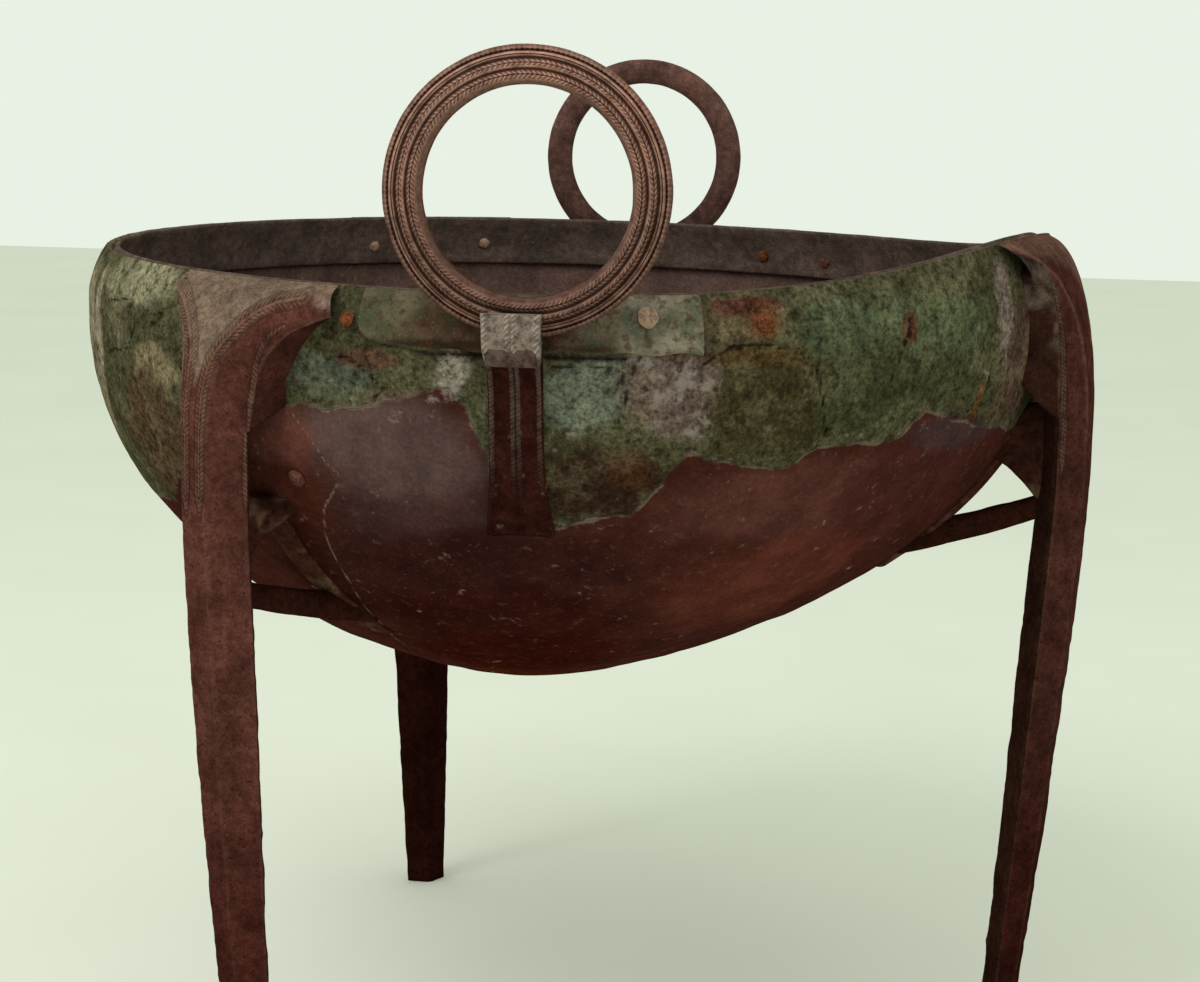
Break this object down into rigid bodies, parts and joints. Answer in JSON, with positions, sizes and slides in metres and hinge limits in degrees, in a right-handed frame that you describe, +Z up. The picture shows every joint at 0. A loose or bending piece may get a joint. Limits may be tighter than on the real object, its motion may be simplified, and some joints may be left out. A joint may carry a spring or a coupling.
{
  "type": "tripod cauldron",
  "caption": "Ancient bronze cauldron: a deep hammered bowl on massive cast legs with horned heads and forked brackets, with upright ring handles held by straps.",
  "frame": {"origin": "middle of the outer box, on the floor under the cauldron", "axes": "+Z up, -Y towards the front ring handle, +X to the right as seen from the front"},
  "size_m": [0.644, 0.6814, 0.65],
  "materials": {
    "bowl_bronze": "hammered bronze with green and brown patina",
    "band_bronze": "dark brown patinated bronze",
    "plate_bronze": "grey-green patinated bronze",
    "leg_bronze": "dark brown worn cast bronze",
    "ring_bronze": "reddish brown worn cast bronze",
    "strap_bronze": "brown worn cast bronze",
    "rivet_iron": "rusted iron",
    "rivet_copper": "dull copper-coloured bronze",
    "rivet_bronze": "dark brown bronze"
  },
  "bodies": {
    "root": {"bowl": "bowl_bronze", "inner_rim_band": "band_bronze", "repair_plate": "plate_bronze", "leg_front_left": "leg_bronze", "leg_right": "leg_bronze", "leg_back": "leg_bronze", "ring_handle_front": "ring_bronze", "ring_handle_back": "ring_bronze", "handle_strap_front": "strap_bronze", "handle_strap_back": "strap_bronze", "rivet_iron_left": "rivet_iron", "rivet_copper_plate": "rivet_copper", "rivet_iron_right": "rivet_iron", "rivet_dome_low": "rivet_bronze", "rivet_leg_back_left": "rivet_copper", "rivet_leg_back_right": "rivet_copper", "rivet_back_iron": "rivet_iron", "rivet_back_right": "rivet_bronze"}
  },
  "joints": []
}
